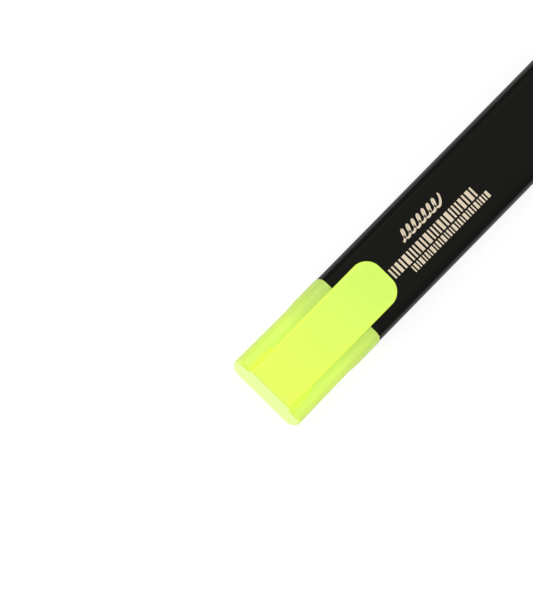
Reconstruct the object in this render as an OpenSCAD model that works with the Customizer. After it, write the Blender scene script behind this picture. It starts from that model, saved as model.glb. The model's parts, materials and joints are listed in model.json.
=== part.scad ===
// Flat pocket highlighter: black oval barrel, translucent cap with a broad clip, chisel nib.
// The pen lies on its back face, clip up. +X runs from the tail to the cap's end.

/* [Barrel] */
// Length of the barrel tube, from the cap's lip to the end plug
barrel_len = 90; // [72:1:112]
// Width of the barrel across its broad face
barrel_w = 19; // [17:0.1:23]
// Thickness of the barrel, from broad face to broad face
barrel_t = 11.3; // [9.4:0.1:14]
// Wall of the barrel
barrel_wall = 1.3; // [1.2:0.05:1.6]
// Radius of the rounded edge between a broad face and a side
edge_r = 1.8; // [1.6:0.1:2.6]
// Radius of the gently bulging side
side_r = 14.45; // [12:0.05:30]
// Width of each of the four ribs that hold the ink reservoir off the wall
rib_w = 0.8; // [0.6:0.1:1.2]
// Distance of each rib from the middle of the broad face
rib_y = 4.2; // [3:0.1:5.5]

/* [Cap] */
// Length of the cap from its lip to its flat end
cap_len = 26; // [25.6:0.1:34]
// How far the cap's lip stands out past the barrel on each side
cap_step = 0.15; // [0.05:0.05:0.4]
// Wall of the cap
cap_wall = 1.1; // [0.9:0.05:1.3]
// Thickness of the cap's flat end
cap_end_wall = 1.4; // [1:0.1:1.6]
// Radius of the rounded edge round the cap's end and the plug's end
end_r = 1.5; // [0.8:0.1:1.6]
// How far the cap's sides draw in at the waist
waist_depth = 0.2; // [0:0.02:0.3]
// Distance of the waist from the lip
waist_x = 12; // [8:0.5:16]
// Gap left between the cap's lip and the barrel when the cap is shut
lip_gap = 0.05; // [0.02:0.01:0.2]

/* [Clip] */
// Width of the clip
clip_w = 11.6; // [9:0.1:12.6]
// How far the clip reaches over the barrel past the cap's lip
clip_reach = 10.25; // [7:0.05:16]
// Height of the clip's top face over the cap's broad face
clip_rise = 2.3; // [2:0.1:3]
// Thickness of the clip
clip_thick = 1.5; // [1.1:0.1:1.6]
// Radius of the two round corners at the clip's tip
clip_tip_r = 3.7; // [2:0.1:4.4]
// Length of the solid root that joins the clip to the cap
clip_root_len = 8; // [4:0.1:12]
// Running gap round the clip's round inner end, where it turns in its root
root_gap = 0.03; // [0.02:0.01:0.1]
// Radius of the bead under the clip's tip
bead_r = 1.1; // [0.8:0.1:1.4]
// Distance of the bead from the clip's tip
bead_x = 3; // [2:0.1:5]
// Gap between the bead and the barrel
bead_gap = 0.15; // [0.1:0.05:0.4]

/* [Front section] */
// Length of the neck that the cap slides over
neck_len = 7.8; // [6.5:0.1:9]
// Gap between the neck and the cap on each side
neck_gap = 0.15; // [0.1:0.01:0.3]
// Wall of the neck
neck_wall = 1.1; // [0.9:0.1:1.4]
// Height of the two grip beads round the neck
grip_h = 0.08; // [0.04:0.01:0.09]
// Length of the skirt pressed into the barrel
skirt_len = 9; // [6:0.1:14]
// Wall of the skirt
skirt_wall = 0.7; // [0.6:0.05:1]
// Gap of a pressed joint on each side
press_gap = 0.02; // [0.01:0.01:0.05]
// Width of the collar that the inner cap seals on
collar_w = 9.6; // [8.6:0.1:10]
// Length of the collar
collar_len = 4.2; // [3:0.1:5]
// Wall round the nib at the front of the nose
nose_wall = 0.9; // [0.8:0.05:1.2]

/* [Nib] */
// Width of the nib, which is the widest line it draws
nib_w = 5; // [4:0.1:5.4]
// Thickness of the nib
nib_t = 3.6; // [2.6:0.1:3.8]
// How far the nib stands out of the nose at its longer corner
nib_reach = 6; // [4:0.1:6.2]
// Whole length of the nib
nib_len = 34; // [30:0.5:40]
// Slant of the writing edge across the nib's width, in degrees
nib_slant = 28; // [0:1:35]
// Thickness of the nib at its writing edge
nib_edge = 1.4; // [0.8:0.1:2]
// Length of the wedge that thins the nib to its edge
nib_wedge = 2.6; // [1.5:0.1:4]

/* [Inner cap] */
// Wall of the inner cap
inner_wall = 0.8; // [0.6:0.05:0.85]
// Running gap between the inner cap and the collar
seal_gap = 0.05; // [0.03:0.01:0.1]
// How much of the collar the inner cap covers
seal_len = 3.4; // [2:0.1:4]
// Free space in front of the nib when the cap is shut
nib_room = 0.6; // [0.4:0.1:2]
// Gap between the inner cap's broad sides and the cap
inner_room = 0.2; // [0.1:0.05:0.5]

/* [Ink reservoir] */
// Thickness of the film round the fibre
film_wall = 0.15; // [0.1:0.01:0.3]
// Gap round the film inside the front section's skirt
film_gap = 0.2; // [0.1:0.05:0.5]
// Radius of the reservoir's long edges
fibre_r = 2.4; // [1:0.1:3]
// Distance from the barrel's mouth back to the reservoir's front face
reservoir_back = 2; // [1.5:0.1:4]

/* [End plug] */
// Length of the plug's head behind the barrel
plug_head_len = 6.2; // [3:0.1:12]
// Length of the plug's skirt inside the barrel
plug_skirt_len = 8; // [5:0.1:12]
// Wall of the plug
plug_wall = 1.2; // [0.8:0.1:1.6]
// Height of the snap bead round the plug's skirt and round the front section's skirt
snap_h = 0.25; // [0.1:0.05:0.35]

/* [Hidden] */

$fn = 96;             // all exact circles; any number over 12 gives the same solids
hull_fn = 32;         // small circles inside a hull
slice = 0.01;         // length of the thin slices that a hull joins
least_r = 0.6;        // smallest edge radius of any oval outline
over = 1;             // how far a cutting solid runs past what it cuts

cap_off = cap_step;                            // outlines are named by their offset from the barrel's
bore_off = -barrel_wall;
cap_bore_off = cap_step - cap_wall;
neck_off = cap_bore_off - neck_gap;
skirt_off = bore_off - press_gap;
cavity_off = skirt_off - skirt_wall;
film_off = cavity_off - film_gap;
fibre_off = film_off - film_wall;

collar_x = neck_len;                           // stations along the pen, from the barrel's mouth
nose_x = collar_x + collar_len;
cap_floor_x = cap_len - cap_end_wall;
nib_end_x = cap_floor_x - inner_wall - nib_room;
nose_end_x = nib_end_x - nib_reach;
clip_root_x = cap_len - clip_root_len;
plug_skirt_x = -barrel_len + plug_skirt_len;
reservoir_end_x = plug_skirt_x;
tail_x = -barrel_len - plug_head_len;

nose_t = nib_t + 2 * nose_wall;                // front section
collar_t = oval_t(cap_bore_off) - 2 * (inner_room + inner_wall + seal_gap);

cap_half_t = barrel_t / 2 + cap_step;          // heights, from the pen's middle plane
clip_top_z = cap_half_t + clip_rise;
clip_under_z = clip_top_z - clip_thick;
clip_axis_z = clip_top_z - clip_thick / 2;

guide_wall = 0.9;                              // tube inside the neck that steadies the nib
guide_end_x = -1;                              // rear end of that tube
guide_rib_t = 1.2;                             // webs that hold the tube
neck_front_wall = 1.6;                         // solid front of the neck behind the collar
vent_w = 0.7;                                  // air channels on both faces of the nib
vent_h = 0.45;
nose_root_inset = 0.3;                         // step from the collar to the nose
grip_beads_x = [2.4, 5.2];                     // places of the grip beads along the neck
grip_bead_len = 0.6;
snap_x = 3;                                    // place of a snap bead, from the barrel's end
snap_len = 1;
spider_t = 1;                                  // cross web that stops the reservoir
boss_sink = 0.5;                               // how deep the clip's root goes into the cap wall
seat_lip = 0.4;                                // how far the seat's upper lip stands back
fillet_step = 18;                              // angle between the slices of a rounded end

// Thickness and width of an outline at an offset from the barrel's outline
function oval_w(off) = barrel_w + 2 * off;
function oval_t(off) = barrel_t + 2 * off;
// Radius of an outline's edges and of its sides
function oval_edge(off) = max(edge_r + off, least_r);
function oval_side(off) = side_r + off;

// Flat oval: two flat faces, four edge arcs and two bulging side arcs that meet tangentially
module oval(off, r = 0) {
    w = oval_w(off);
    t = oval_t(off);
    e = r > 0 ? r : oval_edge(off);
    s = oval_side(off);
    side_y = w / 2 - s;
    edge_z = t / 2 - e;
    edge_y = side_y + sqrt(pow(s - e, 2) - pow(edge_z, 2));
    square([2 * edge_y, t], center = true);
    for (y = [-1, 1], z = [-1, 1])
        translate([y * edge_y, z * edge_z]) circle(e);
    for (y = [-1, 1])
        intersection() {
            translate([y * side_y, 0]) circle(s);
            side_wedge(y, side_y, edge_y, edge_z, s);
        }
}

// Sector that keeps only the part of the side circle between its two edge arcs
module side_wedge(y, side_y, edge_y, edge_z, s) {
    reach = 1.2;
    k = reach * s / sqrt(pow(edge_y - side_y, 2) + pow(edge_z, 2));
    polygon([[y * side_y, 0],
             [y * (side_y + k * (edge_y - side_y)), k * edge_z],
             [y * (side_y + k * (edge_y - side_y)), -k * edge_z]]);
}

// Stadium outline: a strip with half-round ends
module stadium(w, t) {
    square([w - t, t], center = true);
    for (y = [-1, 1]) translate([y * (w - t) / 2, 0]) circle(t / 2);
}

// Carries an outline along the pen from x0 to x1
module along(x0, x1) {
    translate([x0, 0, 0]) rotate([90, 0, 90]) linear_extrude(x1 - x0) children();
}

// Moves the pen from its own axis to the floor, centred lengthwise
module place() {
    translate([-(cap_len + tail_x) / 2, 0, cap_half_t]) children();
}

// Thin slice of the outer oval for a hull
module oval_slice(x, off) {
    along(x, x + slice) oval(off, $fn = hull_fn);
}

// Slices that round the end of a solid oval, from the full outline to the flat end face.
// way is 1 for an end that faces +X and -1 for one that faces -X.
module round_end(x, way, off) {
    for (a = [0:fillet_step:90])
        oval_slice(x - way * (end_r * (1 - sin(a)) + slice / 2) - slice / 2, off - end_r * (1 - cos(a)));
}

module barrel() {
    color("#1b1a18") {
        difference() {
            along(-barrel_len, 0) oval(0);
            along(-barrel_len - over, over) oval(bore_off);
            snap_ring(-barrel_len + snap_x, bore_off, press_gap);
            snap_ring(-snap_x - snap_len, bore_off, press_gap);
        }
        for (y = [-1, 1], z = [-1, 1]) barrel_rib(y, z);
    }
}

// Ring that snaps into the barrel: a bead on a skirt, and with a gap the groove for it
module snap_ring(x, off, gap) {
    along(x - gap, x + snap_len + gap) oval(off + snap_h);
}

// One lengthwise rib on a broad wall, between the front section's skirt and the plug's
module barrel_rib(y, z) {
    x0 = plug_skirt_x + over;
    x1 = -skirt_len - over;
    h = bore_off - film_off;
    root = 0.3;
    top = oval_t(bore_off) / 2;
    translate([x0, y * rib_y - rib_w / 2, z > 0 ? top - h : -top - root])
        cube([x1 - x0, rib_w, h + root]);
}

module front_section() {
    color("#201f1d")
        difference() {
            union() {
                along(-skirt_len, 0) oval(skirt_off);
                snap_ring(-snap_x - snap_len, skirt_off, 0);
                along(0, neck_len) oval(neck_off);
                for (x = grip_beads_x) along(x, x + grip_bead_len) oval(neck_off + grip_h);
                along(collar_x, nose_x) stadium(collar_w, collar_t);
                nose();
            }
            front_hollow();
            along(guide_end_x - over, nose_end_x + over)
                stadium(nib_w + 2 * press_gap, nib_t + 2 * press_gap);
            for (z = [-1, 1]) nib_vent(z);
        }
}

// Tapered nose in front of the collar: two half cones with a wedge between them
module nose() {
    half = (nib_w - nib_t) / 2;
    r1 = collar_t / 2 - nose_root_inset;
    r2 = nose_t / 2;
    for (y = [-half, half])
        translate([nose_x, y, 0]) rotate([0, 90, 0]) cylinder(nose_end_x - nose_x, r1, r2);
    translate([0, half, 0]) rotate([90, 0, 0]) linear_extrude(2 * half)
        polygon([[nose_x, -r1], [nose_end_x, -r2], [nose_end_x, r2], [nose_x, r1]]);
}

// Space inside the skirt and the neck, round the tube that guides the nib
module front_hollow() {
    along(-skirt_len - over, guide_end_x) oval(cavity_off);
    difference() {
        along(guide_end_x, neck_len - neck_front_wall) oval(neck_off - neck_wall);
        along(guide_end_x, neck_len) stadium(nib_w + 2 * guide_wall, nib_t + 2 * guide_wall);
        along(guide_end_x, neck_len) square([oval_w(0), guide_rib_t], center = true);
    }
}

// Air channel along one face of the nib
module nib_vent(z) {
    along(guide_end_x - over, nose_end_x + over)
        translate([0, z * (nib_t / 2 + press_gap)]) square([vent_w, 2 * vent_h], center = true);
}

module nib() {
    color("#e8fb3a")
        intersection() {
            along(nib_end_x - nib_len, nib_end_x) stadium(nib_w, nib_t);
            nib_plan();
            nib_side();
        }
}

// Outline of the nib from above, with its slanted writing edge
module nib_plan() {
    back = nib_w * tan(nib_slant);
    translate([0, 0, -nib_t])
        linear_extrude(2 * nib_t)
            polygon([[nib_end_x - nib_len, -nib_w], [nib_end_x + back / 2, -nib_w],
                     [nib_end_x - 3 * back / 2, nib_w], [nib_end_x - nib_len, nib_w]]);
}

// Outline of the nib from the side, thinned to its writing edge
module nib_side() {
    x0 = nib_end_x - nib_len;
    translate([0, nib_w, 0]) rotate([90, 0, 0])
        linear_extrude(2 * nib_w)
            polygon([[x0, -nib_t / 2], [nib_end_x - nib_wedge - nib_edge, -nib_t / 2],
                     [nib_end_x, -nib_edge / 2], [nib_end_x, nib_edge / 2],
                     [nib_end_x - nib_wedge - nib_edge, nib_t / 2], [x0, nib_t / 2]]);
}

module ink_reservoir() {
    color("#dff23c")
        difference() {
            along(reservoir_end_x, -reservoir_back) oval(fibre_off, r = fibre_r - film_wall);
            along(nib_end_x - nib_len, 0) stadium(nib_w + 2 * press_gap, nib_t + 2 * press_gap);
        }
}

module reservoir_film() {
    color("#e9edc8")
        difference() {
            along(reservoir_end_x, -reservoir_back) oval(film_off, r = fibre_r);
            along(reservoir_end_x - over, 0) oval(fibre_off, r = fibre_r - film_wall);
        }
}

module end_plug() {
    hollow_off = skirt_off - plug_wall;
    color("#dcf95f") {
        difference() {
            union() {
                hull() {
                    oval_slice(-barrel_len - slice, cap_off);
                    round_end(tail_x, -1, cap_off);
                }
                along(-barrel_len, plug_skirt_x) oval(skirt_off);
                snap_ring(-barrel_len + snap_x, skirt_off, 0);
            }
            along(tail_x + plug_wall + end_r, plug_skirt_x + over) oval(hollow_off);
        }
        plug_spider(hollow_off);
    }
}

// Cross web inside the plug that the reservoir's rear end rests on
module plug_spider(off) {
    root = 0.3;
    along(tail_x + plug_wall + end_r, plug_skirt_x) {
        square([oval_w(off) + 2 * root, spider_t], center = true);
        square([spider_t, oval_t(off) + 2 * root], center = true);
    }
}

module cap_shell() {
    color("#d9fb62")
        difference() {
            union() {
                cap_outer();
                clip_root();
            }
            along(-over, cap_floor_x) oval(cap_bore_off);
        }
}

// Solid outer form of the cap: drawn in at the waist, rounded at its end
module cap_outer() {
    hull() {
        oval_slice(lip_gap, cap_off);
        oval_slice(waist_x, cap_off - waist_depth);
    }
    hull() {
        oval_slice(waist_x, cap_off - waist_depth);
        round_end(cap_len, 1, cap_off);
    }
}

// Block on the cap's face that carries the clip, with a round seat for the clip's inner end
module clip_root() {
    translate([0, clip_w / 2, 0]) rotate([90, 0, 0]) linear_extrude(clip_w)
        difference() {
            root_profile();
            translate([clip_root_x, clip_axis_z]) circle(clip_thick / 2 + root_gap);
            translate([clip_root_x - over, clip_axis_z]) square([over + seat_lip, clip_thick]);
        }
}

// Side outline of the root before the seat is cut: its top corner is an arc of the end radius
module root_profile() {
    r = end_r;
    base_z = cap_half_t - boss_sink;
    translate([clip_root_x, base_z]) square([clip_root_len, clip_top_z - r - base_z]);
    translate([clip_root_x, base_z]) square([clip_root_len - r, clip_top_z - base_z]);
    translate([cap_len - r, clip_top_z - r]) circle(r);
}

module inner_cap() {
    in_w = collar_w + 2 * seal_gap;
    in_t = collar_t + 2 * seal_gap;
    mouth_x = nose_x - seal_len;
    color("#f0f6c8")
        difference() {
            along(mouth_x, cap_floor_x) stadium(in_w + 2 * inner_wall, in_t + 2 * inner_wall);
            along(mouth_x - over, cap_floor_x - inner_wall) stadium(in_w, in_t);
        }
}

module clip() {
    color("#dcfb5c") {
        translate([0, 0, clip_under_z]) linear_extrude(clip_thick) clip_plan();
        translate([clip_root_x, clip_w / 2, clip_axis_z])
            rotate([90, 0, 0]) cylinder(clip_w, r = clip_thick / 2);
        clip_bead();
    }
}

// Outline of the clip from above
module clip_plan() {
    tip = -clip_reach;
    inner_w = clip_w - 2 * clip_tip_r;
    translate([tip + clip_tip_r, -clip_w / 2]) square([clip_root_x - tip - clip_tip_r, clip_w]);
    translate([tip, -inner_w / 2]) square([clip_tip_r + over, inner_w]);
    for (y = [-1, 1]) translate([tip + clip_tip_r, y * inner_w / 2]) circle(clip_tip_r);
}

// Rounded bead across the underside of the clip, close to the barrel
module clip_bead() {
    low_z = barrel_t / 2 + bead_gap;
    len = clip_w - 2 * clip_tip_r + 2;
    intersection() {
        translate([-clip_reach + bead_x, len / 2, low_z + bead_r])
            rotate([90, 0, 0]) cylinder(len, r = bead_r);
        translate([-clip_reach, -clip_w / 2, low_z - over])
            cube([clip_reach, clip_w, clip_under_z - low_z + over + clip_thick / 2]);
    }
}

place() barrel();
place() front_section();
place() nib();
place() ink_reservoir();
place() reservoir_film();
place() end_plug();
place() cap_shell();
place() inner_cap();
place() clip();
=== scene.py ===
"""A flat highlighter: black barrel, front section with its nib, end plug, translucent
fluorescent cap with a broad clip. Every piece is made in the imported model's frame: +X from the
tail to the cap's end, +Z up through the clip, metres."""
import json
import math

import bmesh
import bpy
import numpy as np
from mathutils import Matrix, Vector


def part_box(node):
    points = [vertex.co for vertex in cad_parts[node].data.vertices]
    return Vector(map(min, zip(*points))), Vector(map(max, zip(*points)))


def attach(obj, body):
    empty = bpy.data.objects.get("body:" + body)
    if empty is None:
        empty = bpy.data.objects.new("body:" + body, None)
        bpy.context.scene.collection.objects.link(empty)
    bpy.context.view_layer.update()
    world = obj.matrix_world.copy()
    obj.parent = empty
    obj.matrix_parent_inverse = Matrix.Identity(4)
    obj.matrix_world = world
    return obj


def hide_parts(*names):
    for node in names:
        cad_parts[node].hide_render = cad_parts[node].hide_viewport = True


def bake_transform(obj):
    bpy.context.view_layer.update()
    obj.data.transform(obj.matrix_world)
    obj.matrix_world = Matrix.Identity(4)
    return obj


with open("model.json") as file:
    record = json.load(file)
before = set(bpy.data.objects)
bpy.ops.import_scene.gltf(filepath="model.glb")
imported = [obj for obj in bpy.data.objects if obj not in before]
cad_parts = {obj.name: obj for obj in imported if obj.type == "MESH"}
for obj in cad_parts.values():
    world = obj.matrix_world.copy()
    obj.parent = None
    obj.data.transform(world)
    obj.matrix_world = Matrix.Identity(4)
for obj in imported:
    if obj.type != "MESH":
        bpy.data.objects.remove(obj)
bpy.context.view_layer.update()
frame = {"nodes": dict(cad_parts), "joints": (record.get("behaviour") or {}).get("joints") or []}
nodes = frame["nodes"]
mm = 0.001

# ---------------------------------------------------------------------------------- barrel
# The barrel is one injection-moulded tube of black polypropylene, a flat oval in section
# with a fine satin skin. It is open at both ends, and the front section and the end plug
# press into it.
barrel_lo, barrel_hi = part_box("barrel")
mid_z = (barrel_lo.z + barrel_hi.z) / 2
barrel_half_w = barrel_hi.y
barrel_half_t = (barrel_hi.z - barrel_lo.z) / 2
barrel_edge_r = 1.8 * mm
barrel_side_r = 14.45 * mm
barrel_wall = 1.3 * mm
barrel_rim_r, barrel_mouth_r = 0.22 * mm, 0.1 * mm
least_edge_r = 0.6 * mm
rough_drift = 0.12


def round_loop(y, z):
    """Whole outline from its first quarter, which runs from the side's middle to the top's:
    the quarter, its mirror in Z run backwards, both mirrors, and its mirror in Y."""
    return np.stack([
        np.concatenate([y, -y[..., -2::-1], -y[..., 1:], y[..., -2:0:-1]], -1),
        np.concatenate([z, z[..., -2::-1], -z[..., 1:], -z[..., -2:0:-1]], -1)], -1)


def flat_oval(offset):
    """Outlines (y, z) that lie offset outside the barrel's. A quarter is an arc of the side
    radius, an arc of the edge radius that meets it tangentially, and half the flat face."""
    offset = np.atleast_1d(offset)[:, None]
    edge = np.maximum(barrel_edge_r + offset, least_edge_r)
    side = barrel_side_r + offset
    side_y = barrel_half_w - barrel_side_r
    edge_z = barrel_half_t + offset - edge
    edge_y = side_y + np.sqrt((side - edge) ** 2 - edge_z ** 2)
    turn = np.arctan2(edge_z, edge_y - side_y)
    a = turn * np.linspace(0, 1, 9)[:-1]
    b = turn + (np.pi / 2 - turn) * np.linspace(0, 1, 11)
    flat = edge_y * np.array([0.985, 0.8, 0.6, 0.4, 0.2, 0])
    y = np.concatenate([side_y + side * np.cos(a), edge_y + edge * np.cos(b), flat], 1)
    z = np.concatenate([side * np.sin(a), edge_z + edge * np.sin(b),
                        0 * flat + barrel_half_t + offset], 1)
    return round_loop(y, z)


def rounded(corners, closed=False, steps=5, hold=0.06 * mm):
    """Path (x, offset) through corners (x, offset, radius), each turned into an arc of its
    radius that the two legs touch. One more point on either leg keeps the leg looking flat."""
    p = np.array([c[:2] for c in corners], float)
    legs = zip(range(len(p)), np.roll(p, 1, 0), p, np.roll(p, -1, 0))
    path = []
    for k, before, at, after in legs:
        radius = corners[k][2]
        if radius == 0 or (not closed and k in (0, len(p) - 1)):
            path.append(at[None])
            continue
        u = (before - at) / np.linalg.norm(before - at)
        v = (after - at) / np.linalg.norm(after - at)
        half = np.arccos(np.clip(u @ v, -1, 1)) / 2
        reach = radius / np.tan(half)
        centre = at + (u + v) / np.linalg.norm(u + v) * radius / np.sin(half)
        first, last = at + u * reach - centre, at + v * reach - centre
        t = np.linspace(0, 1, steps + 1)[:, None]
        angle = np.pi - 2 * half
        arc = (np.sin((1 - t) * angle) * first + np.sin(t * angle) * last) / np.sin(angle)
        path += [(at + u * (reach + hold))[None], centre + arc, (at + v * (reach + hold))[None]]
    return np.concatenate(path)


def sweep(path, outline=flat_oval):
    """Rings (ring, point, xyz): the outline at each path point's offset, set at its x."""
    loop = outline(path[:, 1])
    x = np.broadcast_to(path[:, None, :1], loop.shape[:2] + (1,))
    return np.concatenate([x, loop[..., :1], loop[..., 1:] + mid_z], -1)


def solid(name, points, faces, merge=0.0):
    """Object with a mesh of these points and faces, its normals turned outwards. Points
    closer than merge become one."""
    mesh = bpy.data.meshes.new(name)
    mesh.from_pydata(points.tolist(), [], faces.tolist())
    work = bmesh.new()
    work.from_mesh(mesh)
    if merge:
        bmesh.ops.remove_doubles(work, verts=work.verts, dist=merge)
    bmesh.ops.recalc_face_normals(work, faces=work.faces)
    work.to_mesh(mesh)
    work.free()
    piece = bpy.data.objects.new(name, mesh)
    bpy.context.scene.collection.objects.link(piece)
    return piece


def skin(name, rings, tube=False):
    """Smooth surface through a stack of closed rings, four-sided faces from each ring to the
    next; a tube also joins the last ring to the first. Points that meet on a line merge."""
    m, n = rings.shape[:2]
    i = np.arange(m if tube else m - 1)[:, None] * n
    j = np.arange(n)[None]
    up, turn = (i + n) % (m * n), (j + 1) % n
    faces = np.stack([i + j, up + j, up + turn, i + turn], -1).reshape(-1, 4)
    piece = solid(name, rings.reshape(-1, 3), faces, merge=1e-6)
    piece.data.shade_smooth()
    return piece


def node(tree, kind, links, **values):
    """Shader node of a kind: its properties and sockets are set by name, and links gives the
    output that feeds each linked input."""
    made = tree.nodes.new("ShaderNode" + kind)
    for key, value in values.items():
        setting = key.replace("_", " ").title()
        if setting in made.inputs:
            made.inputs[setting].default_value = value
        else:
            setattr(made, key, value)
    for socket, source in links.items():
        tree.links.new(source, made.inputs[socket])
    return made


def colour_ramp(tree, source, stops):
    """Colour ramp node through the stops (position, colour), fed by the source."""
    ramp = node(tree, "ValToRGB", {"Fac": source})
    for _ in stops[2:]:
        ramp.color_ramp.elements.new(0.5)
    for stop, (position, shade) in zip(ramp.color_ramp.elements, stops):
        stop.position, stop.color = position, (*shade, 1)
    return ramp


def finish(name, colour, roughness, level=0.5, grain=0.0, grain_scale=2500.0, mottle=0.0,
           mottle_scale=90, stretch=(1, 1, 1), uneven=0.0, **sockets):
    """Moulded-plastic or fibre finish. The colour, or the colours of a list of stops
    (x, colour) run together along X, drifts by mottle with a soft noise; so does the
    roughness by rough_drift, and the place of the stops by uneven metres. A fine noise
    stands grain metres in relief."""
    material = bpy.data.materials.new(name)
    material.use_nodes = True
    tree = material.node_tree
    shader = tree.nodes["Principled BSDF"]
    shader.inputs["Specular IOR Level"].default_value = level
    for socket, value in sockets.items():
        shader.inputs[socket.replace("_", " ")].default_value = value

    place = node(tree, "TexCoord", {}).outputs["Object"]
    mapped = node(tree, "Mapping", {"Vector": place}, scale=stretch).outputs[0]
    cloud = node(tree, "TexNoise", {"Vector": mapped}, scale=mottle_scale, detail=3)
    soft = cloud.outputs["Fac"]

    stops = colour if isinstance(colour, list) else [(0.0, colour), (1.0, colour)]
    first, last = stops[0][0], stops[-1][0]
    along = node(tree, "SeparateXYZ", {0: place}).outputs["X"]
    shifted = node(tree, "Math", {0: soft, 2: along}, operation="MULTIPLY_ADD")
    shifted.inputs[1].default_value = uneven
    part = node(tree, "MapRange", {"Value": shifted.outputs[0]},
                from_min=first + uneven / 2, from_max=last + uneven / 2)
    ramp = colour_ramp(tree, part.outputs[0],
                       [((x - first) / (last - first), shade) for x, shade in stops])
    drift = node(tree, "MapRange", {"Value": soft}, from_min=0.3, from_max=0.7,
                 to_min=1 - mottle, to_max=1 + mottle)
    tone = node(tree, "VectorMath", {0: ramp.outputs["Color"], "Scale": drift.outputs[0]},
                operation="SCALE")
    tree.links.new(tone.outputs[0], shader.inputs["Base Color"])

    rough = node(tree, "MapRange", {"Value": soft}, to_min=roughness * (1 - rough_drift),
                 to_max=roughness * (1 + rough_drift))
    tree.links.new(rough.outputs[0], shader.inputs["Roughness"])
    if grain:
        fine = node(tree, "TexNoise", {"Vector": mapped}, scale=grain_scale, detail=2)
        bump = node(tree, "Bump", {"Height": fine.outputs["Fac"]}, distance=grain)
        tree.links.new(bump.outputs[0], shader.inputs["Normal"])
    return material


barrel_black = finish("barrel_black", (0.0024, 0.0023, 0.0012), 0.30, level=0.085,
                      grain=0.000004, mottle=0.12)
barrel_path = rounded([
    (barrel_hi.x, -barrel_wall, barrel_mouth_r), (barrel_hi.x, 0, barrel_rim_r),
    (barrel_lo.x, 0, barrel_rim_r), (barrel_lo.x, -barrel_wall, barrel_mouth_r)], closed=True)
barrel = skin("barrel_tube", sweep(barrel_path), tube=True)
barrel.data.materials.append(barrel_black)
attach(barrel, "pen")
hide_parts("barrel")

# --------------------------------------------------------------------------- ink reservoir
# A bundle of polyester fibre soaked in fluorescent ink, wrapped in a thin clear film. It is
# shut inside the barrel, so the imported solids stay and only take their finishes.


def refinish(name, material):
    """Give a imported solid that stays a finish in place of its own."""
    nodes[name].data.materials.clear()
    nodes[name].data.materials.append(material)


fibre = finish("ink_fibre", (0.66, 0.86, 0.06), 0.85, level=0.2, grain=0.00004,
               grain_scale=1500, mottle=0.12, mottle_scale=900, stretch=(0.1, 1, 1))
film = finish("reservoir_film", (0.80, 0.84, 0.58), 0.2, grain=0.000002, mottle=0.03,
              Transmission_Weight=0.6)
refinish("ink_reservoir", fibre)
refinish("reservoir_film", film)

# --------------------------------------------------------------------------- front section
# Black polypropylene moulding pressed into the barrel's mouth: the neck that the cap slides
# over, with two low grip beads, the collar that the inner cap seals on, and the nose that
# holds the nib.
front_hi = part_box("front_section")[1]
neck_off = -1.1 * mm
neck_len = 7.8 * mm
collar_len = 4.2 * mm
collar_half_w, collar_half_t = 4.8 * mm, 3.6 * mm
nose_root_half_w, nose_root_half_t = 4.0 * mm, 3.2 * mm
nose_half_w, nose_half_t = 3.4 * mm, 2.7 * mm
nib_half_w, nib_half_t = 2.5 * mm, 1.8 * mm
nib_fit = 0.02 * mm


def stadium(half_w, half_t):
    """Outlines (y, z) of a strip with half-round ends; a quarter is an arc and a flat."""
    half_w, half_t = np.atleast_1d(half_w)[:, None], np.atleast_1d(half_t)[:, None]
    a = np.linspace(0, np.pi / 2, 19)[None]
    flat = (half_w - half_t) * np.array([0.97, 0.8, 0.6, 0.4, 0.2, 0])
    y = np.concatenate([half_w - half_t + half_t * np.cos(a), flat], 1)
    z = np.concatenate([half_t * np.sin(a), 0 * flat + half_t], 1)
    return round_loop(y, z)


def stadium_rings(x, half_w, half_t):
    """Stadium outlines of the given half sizes at the stations x."""
    loop = stadium(half_w, half_t)
    place = np.broadcast_to(np.asarray(x, float)[:, None, None], loop.shape[:2] + (1,))
    return np.concatenate([place, loop[..., :1], loop[..., 1:] + mid_z], -1)


def close_flat(ring, spine, steps=4):
    """Rings that fill a flat end: each point moves straight to the nearest point of a spine,
    a line along Y of half length spine through the middle, where both halves meet."""
    target = ring.copy()
    target[:, 1] = np.clip(ring[:, 1], -spine, spine)
    target[:, 2] = mid_z
    q = np.linspace(0, 1, steps + 1)[1:, None, None]
    return ring * (1 - q) + target * q


neck_x = barrel_hi.x
neck_end = neck_x + neck_len
collar_end = neck_end + collar_len
nose_end = front_hi.x
bead_h, bead_half = 0.08 * mm, 0.3 * mm
bead_at = neck_x + np.array([2.7, 5.5]) * mm
shoulder_r, shoulder_drop = 0.45 * mm, 0.54 * mm
neck_spine, nose_round = 6 * mm, 0.35 * mm
neck_path = rounded([(neck_x, neck_off, 0), (neck_end, neck_off, shoulder_r),
                     (neck_end, neck_off - shoulder_drop, 0)], steps=6)
straight = np.linspace(neck_x + 0.1 * mm, neck_end - 0.6 * mm, 60)
rise = sum(np.clip(1 - ((straight - b) / bead_half) ** 2, 0, 1) for b in bead_at)
beads = np.stack([straight, neck_off + bead_h * rise], -1)
neck_path = np.concatenate([neck_path[:1], beads, neck_path[1:]])

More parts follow.
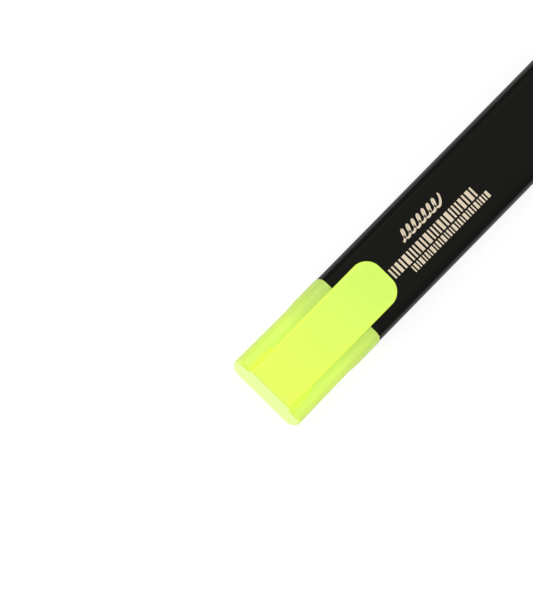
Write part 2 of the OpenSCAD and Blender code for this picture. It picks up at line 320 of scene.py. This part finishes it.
# Rings at a fillet or a rounding: where each stands, measured from the corner, and how far it
# draws in or stands out there. The collar's root, the collar's end, the nose's tip, the bore.
root_ahead = np.array([0, 0, 0.2, 0.3]) * mm
root_out = np.array([0.2, 0.1, 0, 0]) * mm
end_back = np.array([0.35, 0.3, 0.16, 0.05, 0, 0]) * mm
end_in = np.array([0, 0, 0.04, 0.14, 0.3, 0.36]) * mm
tip_back = np.array([0.25, 0.14, 0.05, 0, 0]) * mm
tip_in = np.array([0.02, 0.09, 0.2, 0.35, 0.5]) * mm
bore_back = np.array([0, 0.05, 0.3, 1.5]) * mm
bore_out = nib_fit + np.array([0.12, 0.03, 0, 0]) * mm
taper = np.linspace(0, 1, 12)
bore = stadium_rings(nose_end - bore_back, nib_half_w + bore_out, nib_half_t + bore_out)
front_rings = np.concatenate([
    close_flat(sweep(np.array([[neck_x, neck_off]]))[0], neck_spine)[::-1],
    sweep(neck_path),
    stadium_rings(neck_end + root_ahead, collar_half_w + root_out, collar_half_t + root_out),
    stadium_rings(collar_end - end_back, collar_half_w - end_in, collar_half_t - end_in),
    stadium_rings(collar_end + (nose_end - nose_round - collar_end) * taper,
                  nose_root_half_w + (nose_half_w - nose_root_half_w) * taper,
                  nose_root_half_t + (nose_half_t - nose_root_half_t) * taper),
    stadium_rings(nose_end - tip_back, nose_half_w - tip_in, nose_half_t - tip_in),
    bore, close_flat(bore[-1], nib_half_w - nib_half_t)])
front = skin("front_section_neck", front_rings)
front_black = finish("front_section_black", (0.0052, 0.0048, 0.0043), 0.4, level=0.2,
                     grain=0.000006, mottle=0.1)
front.data.materials.append(front_black)
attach(front, "pen")
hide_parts("front_section")

# ------------------------------------------------------------------------------------- nib
# Bonded polyester fibre, ground to a slanted chisel and soaked in ink. It is pushed through
# the nose until its rear end sits in the reservoir.
nib_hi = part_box("nib")[1]
slant = math.tan(math.radians(28))
nib_x = nib_hi.x - slant * nib_half_w
nib_shank = 1.4 * mm
wedge = 3.6 * mm
lean_from = 1.2 * wedge
edge_half_t = 0.72 * mm
worn_out = 0.32 * mm

# The wedge thins almost straight: its faces are ground a little round.
thin = np.linspace(0, 1, 15)
body_x = np.concatenate([[nose_end - nib_shank, nose_end], nib_x - wedge * (1 - thin)])
body_h = np.concatenate([[nib_half_t, nib_half_t], nib_half_t + (edge_half_t - nib_half_t)
                         * (0.15 * thin ** 3 + 0.85 * thin)])

# The writing edge is worn round: its rings draw in more and more over the last worn_out.
worn = np.array([0.02, 0.08, 0.18, 0.3, 0.42]) * mm
tip = nib_x + np.array([0.12, 0.22, 0.28, 0.31, 0.32]) * mm
stations = np.concatenate([body_x, tip])
nib_rings = stadium_rings(
    stations, np.concatenate([np.full(len(body_x), nib_half_w), nib_half_w - worn * 0.8]),
    np.concatenate([body_h, body_h[-1] - worn]))
lean = slant * np.clip((stations - (nib_x - lean_from)) / lean_from, 0, 1)
nib_rings[..., 0] -= lean[:, None] * nib_rings[..., 1] + worn_out
nib_rings = np.concatenate([close_flat(nib_rings[0], nib_half_w - nib_half_t)[::-1], nib_rings])
end_ring = nib_rings[-1]
edge_line = end_ring.copy()
edge_line[:, 1] = np.clip(end_ring[:, 1], -nib_half_w * 0.75, nib_half_w * 0.75)
edge_line[:, 2] = mid_z
edge_line[:, 0] += slant * (end_ring[:, 1] - edge_line[:, 1])
q = np.linspace(0, 1, 4)[1:, None, None]
nib = skin("nib_chisel", np.concatenate([nib_rings, end_ring * (1 - q) + edge_line * q]))
nib_fibre = finish("nib_fibre", (0.68, 0.90, 0.045), 0.8, level=0.2, grain=0.00006,
                   grain_scale=2600, mottle=0.16, mottle_scale=1100, stretch=(0.12, 1, 1))
nib.data.materials.append(nib_fibre)
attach(nib, "pen")
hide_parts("nib")

# --------------------------------------------------------------------------------- end plug
# Fluorescent polypropylene plug snapped into the barrel's rear mouth. Its head carries the
# cap's outline on, with the same rounded end.
plug_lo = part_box("end_plug")[0]
cap_step = 0.15 * mm
end_round = 1.0 * mm
end_flat_off = -3.2 * mm
end_spine = 4.5 * mm
shank_off, shank_len = -1.5 * mm, 2 * mm
head_x = barrel_lo.x
plug_path = rounded([
    (plug_lo.x, end_flat_off, 0), (plug_lo.x, cap_step, end_round),
    (head_x, cap_step, 0.15 * mm), (head_x, shank_off, 0),
    (head_x + shank_len, shank_off, 0)], steps=9)
plug_rings = sweep(plug_path)
plug_rings = np.concatenate([close_flat(plug_rings[0], end_spine)[::-1], plug_rings,
                             close_flat(plug_rings[-1], end_spine)])
plug = skin("end_plug_head", plug_rings)

# Light spreads about a millimetre inside the plastic. The emission is a fixed glow, the same in
# light and dark: partly the dye's fluorescence, partly painted light that lifts the shade in
# hollows and creases.
yellow = (0.47, 0.60, 0.115)
glow = dict(Emission_Color=(0.24, 0.33, 0.012, 1), Emission_Strength=1.0,
            Subsurface_Weight=1.0, Subsurface_Radius=(1.5, 1.5, 0.6), Subsurface_Scale=0.001)
fluorescent = finish("fluorescent_plastic", yellow, 0.25, grain=0.000003, mottle=0.015,
                     **glow)
plug.data.materials.append(fluorescent)
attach(plug, "pen")
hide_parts("end_plug")

# -------------------------------------------------------------------------------- inner cap
# A thin cup of natural polypropylene fixed in the cap's floor. It seals on the collar and
# keeps the nib from drying; only its mouth is seen, with the cap off.
natural = finish("natural_plastic", (0.80, 0.86, 0.55), 0.38, grain=0.000004, mottle=0.03)
refinish("inner_cap", natural)

# --------------------------------------------------------------------------------- cap shell
# One moulding of translucent fluorescent polypropylene. Its sides draw in a little from the
# end, then step out to a thicker band round the mouth; the flat end has a rounded edge.
cap_lo, cap_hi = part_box("cap_shell")
cap_bore_off, cap_floor_off = -0.95 * mm, -3.5 * mm
cap_floor = cap_hi.x - 1.4 * mm
lip_x, lip_to = cap_lo.x, cap_lo.x + 1 * mm
cap_end = cap_hi.x - 0.02 * mm
lip_band, step_run, waist_run, waist_step = 6.6 * mm, 3.4 * mm, 15 * mm, 0.18 * mm


def cap_side(x):
    """Outside offset of the cap at x: a band by the lip, an S-shaped step down to the
    waist, and a straight run out to the end."""
    far = x - lip_x
    step = np.clip((far - lip_band) / step_run, 0, 1)
    grow = np.clip((far - lip_band - step_run) / waist_run, 0, 1)
    return cap_step - waist_step * (step * step * (3 - 2 * step) - grow)


side_x = np.linspace(lip_x + 0.5 * mm, cap_end - 1.75 * mm, 40)
end_off = float(cap_side(cap_end))
cap_path = rounded([(cap_end, end_flat_off, 0), (cap_end, end_off, end_round),
                    (lip_to, end_off, 0)], steps=10)[:-2]
lip_path = rounded([(lip_to, cap_step, 0), (lip_x, cap_step, 0.28 * mm),
                    (lip_x, cap_bore_off, 0.15 * mm), (cap_floor, cap_bore_off, 0.4 * mm),
                    (cap_floor, cap_floor_off, 0)])[1:]
side_path = np.stack([side_x[::-1], cap_side(side_x[::-1])], -1)
cap_rings = sweep(np.concatenate([cap_path, side_path, lip_path]))
cap_rings = np.concatenate([close_flat(cap_rings[0], end_spine)[::-1], cap_rings,
                            close_flat(cap_rings[-1], end_spine)])
cap = skin("cap_shell_moulding", cap_rings)

# Painted shade: the wall's colour is painted greyish green by the lip and clears towards the
# end, standing for the dark neck seen through the wall with the cap on; the painted band stays
# when the cap is off.
cap_yellow = (0.475, 0.605, 0.128)
cap_painted_shade_colours = [(lip_x - 2 * mm, (0.235, 0.345, 0.14)), (lip_x + 5 * mm, (0.36, 0.48, 0.13)),
               (lip_x + 12 * mm, cap_yellow)]
cap_plastic = finish("cap_plastic", cap_painted_shade_colours, 0.25, grain=0.000003, mottle=0.02,
                     uneven=6 * mm, **glow)
cap.data.materials.append(cap_plastic)
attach(cap, "cap")
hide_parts("cap_shell")

# ------------------------------------------------------------------------------------- clip
# The clip is moulded in one with the cap: a broad tongue that rises from the cap's end on a
# root with soft flanks, then runs free over the barrel and ends in two round corners. It
# bends just in front of its root.
clip_lo, clip_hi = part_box("clip")
hinge = next(j for j in frame["joints"] if j["name"] == "clip_flex")["pos_m"]
clip_half_w = clip_hi.y
clip_top = clip_hi.z
clip_thick = 1.5 * mm
clip_tip_r = 3.7 * mm
cap_top = mid_z + barrel_half_t + cap_step
root_front = hinge[0]
tongue_end = cap_hi.x


def ease(v, low, high):
    """Smooth step of v from 0 at low to 1 at high."""
    s = np.clip((v - low) / (high - low), 0, 1)
    return s * s * (3 - 2 * s)


# Plan outline of the tongue, half of it, and the way it faces at each point: end edge,
# corner, long side, tip corner, tip edge. The tip bows forward by crown in its middle.
corner_r = 0.5 * mm
corner_turn = np.linspace(0, np.pi / 2, 7)
tip_turn = np.linspace(0, np.pi / 2, 22)
crown = 0.25 * mm
flat_half = clip_half_w - clip_tip_r
end_edge = np.stack([np.full(6, tongue_end),
                     np.linspace(0, clip_half_w - corner_r, 7)[:-1]], -1)
end_corner = np.stack([tongue_end - corner_r * (1 - np.cos(corner_turn)),
                       clip_half_w - corner_r * (1 - np.sin(corner_turn))], -1)

# The long side's points stand closer together next to the corner.
near_end = tongue_end - corner_r - np.array([0.1, 0.2, 0.35, 0.5, 0.65, 0.8, 1.0]) * mm
far_end = clip_lo.x + clip_tip_r + crown
long_x = np.concatenate([near_end, np.linspace(near_end[-1], far_end, 74)[1:-1]])
long_side = np.stack([long_x, np.full(len(long_x), clip_half_w)], -1)
tip_corner = np.stack([clip_lo.x + crown + clip_tip_r * (1 - np.sin(tip_turn)),
                       flat_half + clip_tip_r * np.cos(tip_turn)], -1)
tip_edge = np.stack([np.full(4, clip_lo.x + crown), np.linspace(flat_half, 0, 5)[1:]], -1)
half_plan = np.concatenate([end_edge, end_corner, long_side, tip_corner, tip_edge])
normal = np.concatenate([
    np.tile([1.0, 0.0], (len(end_edge), 1)),
    np.stack([np.cos(corner_turn), np.sin(corner_turn)], -1),
    np.tile([0.0, 1.0], (len(long_side), 1)),
    np.stack([-np.sin(tip_turn), np.cos(tip_turn)], -1),
    np.tile([-1.0, 0.0], (len(tip_edge), 1))])
near_tip = np.clip(1 - (half_plan[:, 0] - clip_lo.x) / (clip_tip_r + crown), 0, 1)
half_plan[:, 0] -= crown * near_tip * (1 - (half_plan[:, 1] / clip_half_w) ** 2)
plan = np.concatenate([half_plan, half_plan[-2:0:-1] * [1, -1]])
out = np.concatenate([normal, normal[-2:0:-1] * [1, -1]])
plan_x, plan_y = plan.T

# Its edge, from the top face down: a rounding whose radius grows towards the root, then a
# flank that is hollow where the root spreads out onto the cap and round where it is free.
root_soft = 0.9 * mm
rooted = ease(plan_x, root_front - root_soft, root_front + root_soft)
top_r = (0.42 + 0.3 * ease(plan_x, root_front - 8 * mm, tongue_end - 3 * mm)) * mm
flare = 1.1 * mm * ease(plan_x, root_front - root_soft, root_front + 3.2 * mm)
low_r = 0.3 * mm * (1 - rooted)
under = clip_top - clip_thick
past = np.clip(plan_x - tongue_end + end_round, 0, None)
drop = end_round - np.sqrt(end_round ** 2 - past ** 2)
foot = under + (cap_top - drop - under) * rooted
fall = np.linspace(0, np.pi / 2, 9)[:, None]
top_rings = 1 + len(fall)
inset = np.concatenate([top_r + 0.06 * mm + 0 * fall[:1], top_r * (1 - np.sin(fall)),
                        low_r * (1 - np.cos(fall))])
spread = np.concatenate([0 * inset[:top_rings], flare * (1 - np.cos(fall))])
flank = clip_top - top_r - foot
down = np.where(rooted > 0, np.sin(fall) ** 0.8, np.sin(fall))
height = np.concatenate([clip_top + 0 * plan_x[None], clip_top - top_r * (1 - np.cos(fall)),
                         foot + flank * (1 - down)])
edge_x = np.minimum(plan_x - inset * out[:, 0], tongue_end - inset)
edge_y = plan_y - inset * out[:, 1]
limit = clip_half_w - inset
edge_y = np.clip(edge_y, -limit, limit) * (1 + spread / clip_half_w)
edge_rings = np.stack([edge_x, edge_y, height], -1)

# The root's foot goes on down into the cap.
sunk_by = 0.4 * mm * rooted
sunk = edge_rings[-1] - np.stack([0 * plan_x, 0 * plan_x, sunk_by], -1)
edge_rings = np.concatenate([edge_rings, sunk[None]])


def to_spine(ring, steps, lift):
    """Rings that fill the tongue's top or underside: each point moves to a spine along X,
    and lift raises them towards it for a slight crown."""
    target = ring.copy()
    reach = clip_half_w * 0.8
    target[:, 0] = np.clip(ring[:, 0], clip_lo.x + reach, tongue_end - reach)
    target[:, 1] = 0
    q = np.linspace(0, 1, steps + 1)[1:, None, None]
    rings = ring * (1 - q) + target * q
    rings[..., 2] += lift * (1 - (1 - q[..., 0]) ** 2)
    return rings


top_fill = to_spine(edge_rings[0], 8, 0.02 * mm)[::-1]
under_fill = to_spine(edge_rings[-1], 10, 0.0)

# A round bead across the underside near the tip almost touches the barrel.
bead_x = clip_lo.x + 3 * mm
bead_r, bead_low = 1.1 * mm, barrel_hi.z + 0.15 * mm
from_bead = under_fill[..., 0] - bead_x
bead = bead_low + bead_r - np.sqrt(np.clip(bead_r ** 2 - from_bead ** 2, 0, None))
bead += (under - bead) * ease(np.abs(under_fill[..., 1]), 2.2 * mm, 3.2 * mm)
bead = np.where(np.abs(from_bead) < bead_r, bead, under_fill[..., 2])
under_fill[..., 2] = np.minimum(under_fill[..., 2], bead)
clip = skin("clip_tongue", np.concatenate([top_fill, edge_rings, under_fill]))
# Painted shade: the tongue is painted darker and greener towards its tip, where light through it
# is lost into the black barrel below, and warmer by its root.
warm_yellow = (0.56, 0.67, 0.08)
tongue_painted_shade_colours = [(clip_lo.x, (0.42, 0.60, 0.11)), (tongue_end - 3 * mm, warm_yellow),
                  (tongue_end - 0.9 * mm, warm_yellow), (tongue_end, cap_yellow)]
tongue_plastic = finish("tongue_plastic", tongue_painted_shade_colours, 0.25, grain=0.000003, mottle=0.012,
                        **glow)
clip.data.materials.append(tongue_plastic)
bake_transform(clip)
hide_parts("clip")

# ------------------------------------------------------------------------------------ print
# Cream ink, pad-printed on the barrel's upper face behind the clip: plain strokes only, a
# wavy line, a broad dashed bar and a narrow dashed bar.
ink_low, ink_high = barrel_hi.z - 0.01 * mm, barrel_hi.z + 0.02 * mm
print_from = clip_lo.x - 1.1 * mm


def stroke(x, y, width):
    """Ink line along the points (x, y): a flat bar section, width across and as high as the
    ink is thick, carried square to the path, and closed at both ends."""
    path = np.stack([x, y], -1)
    run = np.gradient(path, axis=0)
    side = np.stack([-run[:, 1], run[:, 0]], -1) / np.linalg.norm(run, axis=1)[:, None]
    side *= np.broadcast_to(width, len(path))[:, None] / 2
    left, right = path + side, path - side
    low, high = np.full((len(path), 1), ink_low), np.full((len(path), 1), ink_high)
    return np.stack([np.hstack(corner) for corner in
                     ((left, low), (right, low), (right, high), (left, high))], 1)


def bars(start, y_low, y_high, widths, gap):
    """Row of upright bars, one for each width, set one after another towards the tail."""
    right = start - np.concatenate([[0], np.cumsum(widths + gap)[:-1]])
    return [stroke(np.full(2, at - wide / 2), np.array([y_low, y_high]), wide)
            for at, wide in zip(right, widths)]


broad = bars(print_from, 0.05 * mm, 2.6 * mm,
             np.tile([0.46, 0.46, 0.8, 0.5, 0.95, 0.46], 4) * mm, 0.5 * mm)
small = bars(print_from - 4.2 * mm, 3.05 * mm, 4.7 * mm,
             np.tile([0.32, 0.5, 0.34, 0.7], 7) * mm, 0.4 * mm)

# The wavy line is a row of leaning loops round its own middle line.
wave_from, wave_run, wave_mid = print_from - 7.4 * mm, 12.0 * mm, -2.9 * mm
wave_half, wave_back, wave_lean = 1.15 * mm, 0.6 * mm, 0.35
loops = np.linspace(0, 7.5 * 2 * np.pi, 240)
wave_y = wave_mid + wave_half * np.cos(loops)
wave_x = wave_from - loops / loops[-1] * wave_run - wave_back * np.sin(loops)
wave = [stroke(wave_x + wave_lean * (wave_y - wave_mid), wave_y,
               (0.44 + 0.1 * np.sin(loops + 0.8)) * mm)]
points, quads, used = [], [], 0
for line in broad + small + wave:
    count = 4 * len(line)
    i, j = np.arange(len(line) - 1)[:, None] * 4 + used, np.arange(4)[None]
    sides = np.stack([i + j, i + j + 4, i + (j + 1) % 4 + 4, i + (j + 1) % 4], -1)
    ends = np.array([[3, 2, 1, 0], [count - 4, count - 3, count - 2, count - 1]]) + used
    points.append(line.reshape(-1, 3))
    quads += [sides.reshape(-1, 4), ends]
    used += count
ink = solid("barrel_print", np.concatenate(points), np.concatenate(quads))
cream = finish("cream_ink", (0.67, 0.57, 0.42), 0.55, level=0.3, mottle=0.06)
ink.data.materials.append(cream)
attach(ink, "pen")

# ------------------------------------------------------------------- floor, light, camera
# A white sheet, an even white surround and one large soft light, as for a plain product shot.
sheet = bpy.data.meshes.new("sheet")
sheet.from_pydata([(-3, -3, 0), (3, -3, 0), (3, 3, 0), (-3, 3, 0)], [], [(0, 1, 2, 3)])
floor = bpy.data.objects.new("sheet", sheet)
bpy.context.scene.collection.objects.link(floor)
white = bpy.data.materials.new("white_sheet")
white.use_nodes = True
sheet_shader = white.node_tree.nodes["Principled BSDF"]
for socket, value in (("Base Color", (0.25, 0.25, 0.25, 1)), ("Roughness", 0.9),
                      ("Specular IOR Level", 0.0), ("Emission Color", (1, 1, 1, 1)),
                      ("Emission Strength", 0.80)):
    sheet_shader.inputs[socket].default_value = value
floor.data.materials.append(white)
floor.visible_glossy = False

scene = bpy.context.scene
scene.view_settings.view_transform = "Standard"
scene.world = bpy.data.worlds.new("surround")
scene.world.use_nodes = True
sky = scene.world.node_tree

# The surround's strength by height, from straight down to overhead.
aim_at = node(sky, "SeparateXYZ", {0: node(sky, "TexCoord", {}).outputs["Generated"]})
raised = node(sky, "MapRange", {"Value": aim_at.outputs["Z"]}, from_min=-1)
levels = ((0.0, 0.42), (0.5, 0.4), (0.84, 1.08))
bright = colour_ramp(sky, raised.outputs[0], [(place, (level,) * 3) for place, level in levels])
bright.color_ramp.interpolation = "EASE"

# The sheet's sheen in front of the cap's end: low down and a little along +X.
ahead = node(sky, "MapRange", {"Value": aim_at.outputs["X"]}, from_min=0.0, from_max=0.12)
low = node(sky, "MapRange", {"Value": aim_at.outputs["Z"]}, from_min=-0.35, from_max=-0.9,
           to_max=0.66)
sheen = node(sky, "Math", {0: ahead.outputs[0], 1: low.outputs[0]}, operation="MULTIPLY")
lit = node(sky, "Math", {0: sheen.outputs[0], 1: bright.outputs["Color"]}, operation="ADD")

# Where the view looks past the sheet it sees plain white.
seen = node(sky, "LightPath", {})
either = node(sky, "Math", {0: lit.outputs[0], 1: seen.outputs["Is Camera Ray"]},
              operation="MAXIMUM")
sky_background = sky.nodes["Background"]
sky_background.inputs["Color"].default_value = (1, 1, 1, 1)
sky.links.new(either.outputs[0], sky_background.inputs["Strength"])

lamp = bpy.data.lights.new("soft_box", "AREA")
lamp.shape, lamp.size, lamp.size_y, lamp.energy = "RECTANGLE", 1.2, 0.9, 2.0
box = bpy.data.objects.new("soft_box", lamp)
scene.collection.objects.link(box)
box.location = (0.1, -0.4, 1.0)
box.rotation_euler = (math.radians(22), 0, 0)

camera = bpy.data.cameras.new("camera")
eye = bpy.data.objects.new("camera", camera)
scene.collection.objects.link(eye)
scene.camera = eye

# It looks down on the pen from a little past the cap's end, turned so that the pen runs up
# to the right, and stands where the lip comes to its place: cap_cells along the run from the
# cap's end. Places in the view are counted in cells from its upper left corner, and cell is
# what one covers at the pen.
tilt, roll, far = math.radians(12), math.radians(45.4), 1.3
view_w, view_h, cell = 533, 592, 0.2154 * mm
back = np.array([math.sin(tilt), 0, math.cos(tilt)])
along = np.array([-math.cos(tilt), 0, math.sin(tilt)])
across = np.array([0, 1.0, 0])
right = math.cos(roll) * along + math.sin(roll) * across
up = math.sin(roll) * along - math.cos(roll) * across
camera.sensor_width = 36
camera.lens = camera.sensor_width * far / (view_h * cell)
camera.clip_start, camera.clip_end = 0.05, 20
cap_end_in_view = np.array([265.3, 394.6])
run_in_view = np.array([0.702, -0.712])
cap_cells = 122.85
lip_in_view = cap_end_in_view + cap_cells * run_in_view
from_middle = (lip_in_view - np.array([view_w, view_h]) / 2) * cell
lip = np.array([lip_x, 0, cap_top])
aim = lip - right * from_middle[0] + up * from_middle[1]
pose = np.eye(4)
pose[:3] = np.stack([right, up, back, aim + back * far], 1)
eye.matrix_world = Matrix(pose.tolist())
